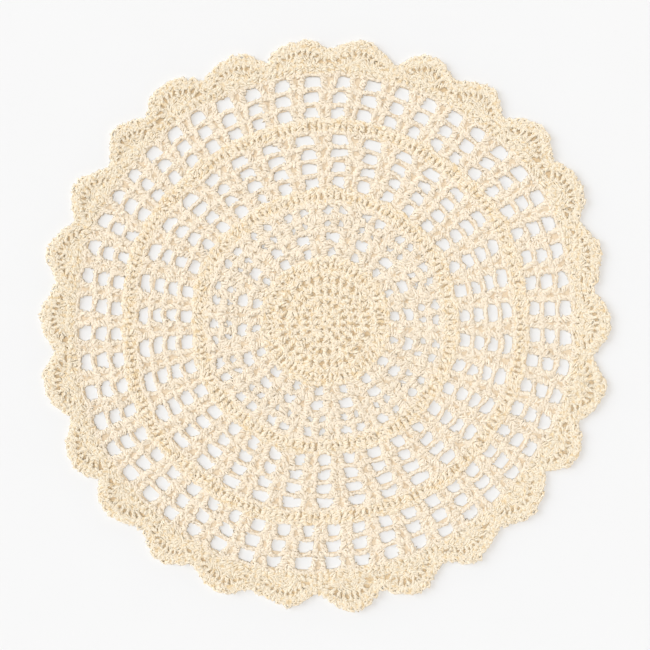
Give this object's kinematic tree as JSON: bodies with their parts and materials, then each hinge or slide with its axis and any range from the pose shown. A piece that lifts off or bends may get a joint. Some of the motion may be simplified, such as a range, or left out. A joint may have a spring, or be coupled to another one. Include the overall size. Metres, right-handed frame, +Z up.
{
  "type": "crocheted lace doily",
  "caption": "Round flat crocheted mat of cream cotton yarn: solid centre, stitched bands, rounds of open net and a rim of scallops.",
  "frame": {"origin": "centre of the underside, on the surface that the mat lies on", "axes": "+Z up out of the mat's face, +X to the mat's right-hand side"},
  "size_m": [0.3795, 0.3794, 0.003],
  "materials": {
    "cotton_yarn": "matte cream cotton yarn, crocheted"
  },
  "bodies": {
    "root": {"doily": "cotton_yarn"}
  },
  "joints": []
}
